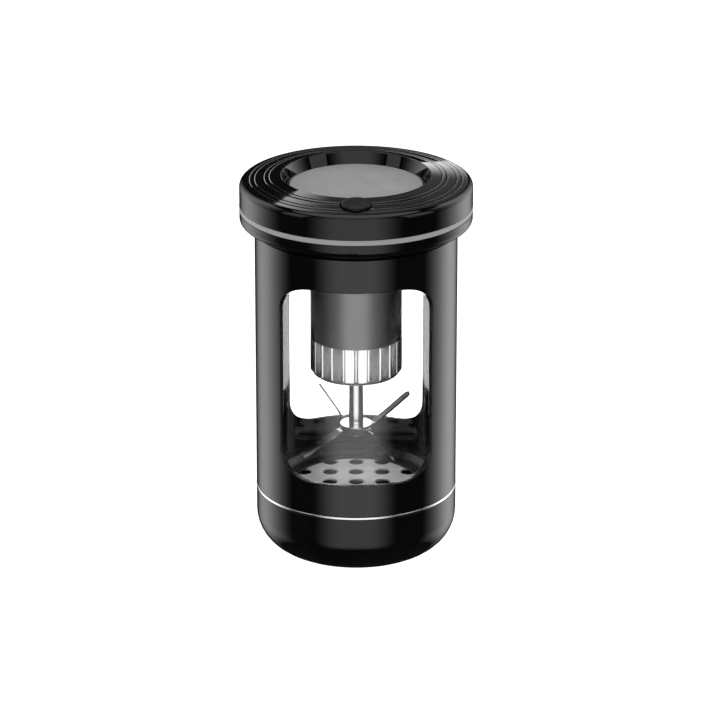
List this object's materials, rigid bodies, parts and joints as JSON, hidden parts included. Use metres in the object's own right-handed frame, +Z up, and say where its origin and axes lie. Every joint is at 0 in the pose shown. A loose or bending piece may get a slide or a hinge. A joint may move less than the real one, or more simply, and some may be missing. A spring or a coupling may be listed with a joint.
{
  "type": "hand-held electric grinder",
  "caption": "Small upright battery grinder: wide round motor lid with a button, windowed cylindrical jar with a spinning blade over a sieve, rounded catch cup.",
  "frame": {"origin": "on the common axis, at the flat foot that the grinder stands on", "axes": "+Z up along the common axis; -Y is the front, where the button is; +X to the right seen from the front"},
  "size_m": [0.0654, 0.0654, 0.112],
  "materials": {
    "shell_black": "gloss",
    "lid_black": "gloss",
    "button_black": "gloss",
    "band_grey": "satin",
    "badge_grey": "satin",
    "polished_steel": "polished",
    "sieve_steel": "bright satin",
    "blade_steel": "dark, ground edges",
    "collar_metal": "polished flats",
    "housing_grey": "anodised dark grey, satin",
    "insert_black": "satin",
    "clear_wall": "clear",
    "seal_rubber": "matt",
    "can_steel": "plated",
    "bearing_brass": "sintered",
    "rotor_iron": "laminated",
    "board_green": "satin",
    "cell_wrap": "satin",
    "lead_red": "satin"
  },
  "bodies": {
    "base": {"base_cup": "lid_black", "foot_pad": "seal_rubber", "trim_ring": "polished_steel", "base_seal": "seal_rubber"},
    "sieve": {"sieve_holder": "insert_black", "sieve_plate": "sieve_steel", "sieve_retainer": "polished_steel"},
    "jar": {"body_shell": "shell_black", "glass_tube": "clear_wall", "lower_ring": "insert_black", "lower_gasket": "seal_rubber", "upper_gasket": "seal_rubber", "upper_ring": "insert_black"},
    "head": {"lid_base": "lid_black", "lid_cover": "lid_black", "accent_ring": "band_grey", "badge_disc": "badge_grey", "lid_seal": "seal_rubber", "lid_screws": "can_steel", "housing_screws": "can_steel", "motor_housing": "housing_grey", "fluted_collar": "collar_metal", "shaft_bush": "bearing_brass", "shaft_seal": "seal_rubber", "motor_can": "can_steel", "motor_end_cap": "insert_black", "motor_bushes": "bearing_brass", "field_magnets": "rotor_iron", "carbon_brushes": "rotor_iron", "brush_terminals": "bearing_brass", "motor_screws": "can_steel", "motor_leads": "lead_red", "battery_cell": "cell_wrap", "battery_pad": "seal_rubber", "switch_board": "board_green", "tact_switch": "insert_black", "charge_board": "board_green", "usb_c_socket": "can_steel"},
    "rotor": {"drive_shaft": "polished_steel", "shaft_coupling": "polished_steel", "motor_shaft": "polished_steel", "armature": "rotor_iron", "commutator": "rotor_iron", "lower_blade": "blade_steel", "upper_blade": "blade_steel", "blade_washer": "polished_steel", "blade_nut": "polished_steel"},
    "button": {"button_cap": "button_black", "switch_plunger": "insert_black"}
  },
  "joints": [
    {"name": "jar_lift", "type": "slide", "parent": "base", "child": "jar", "axis": [0, 0, 1], "range_m": [0, 0.04]},
    {"name": "sieve_lift", "type": "slide", "parent": "base", "child": "sieve", "axis": [0, 0, 1], "range_m": [0, 0.007]},
    {"name": "head_lift", "type": "slide", "parent": "jar", "child": "head", "axis": [0, 0, 1], "range_m": [0, 0.075]},
    {"name": "blade_spin", "type": "hinge", "parent": "head", "child": "rotor", "pos_m": [0, 0, 0.0365], "axis": [0, 0, 1], "continuous": true},
    {"name": "power_button", "type": "slide", "parent": "head", "child": "button", "axis": [0, 0, -1], "range_m": [0, 0.0005], "stiffness_N_per_m": 400, "springref_m": -0.0005}
  ]
}
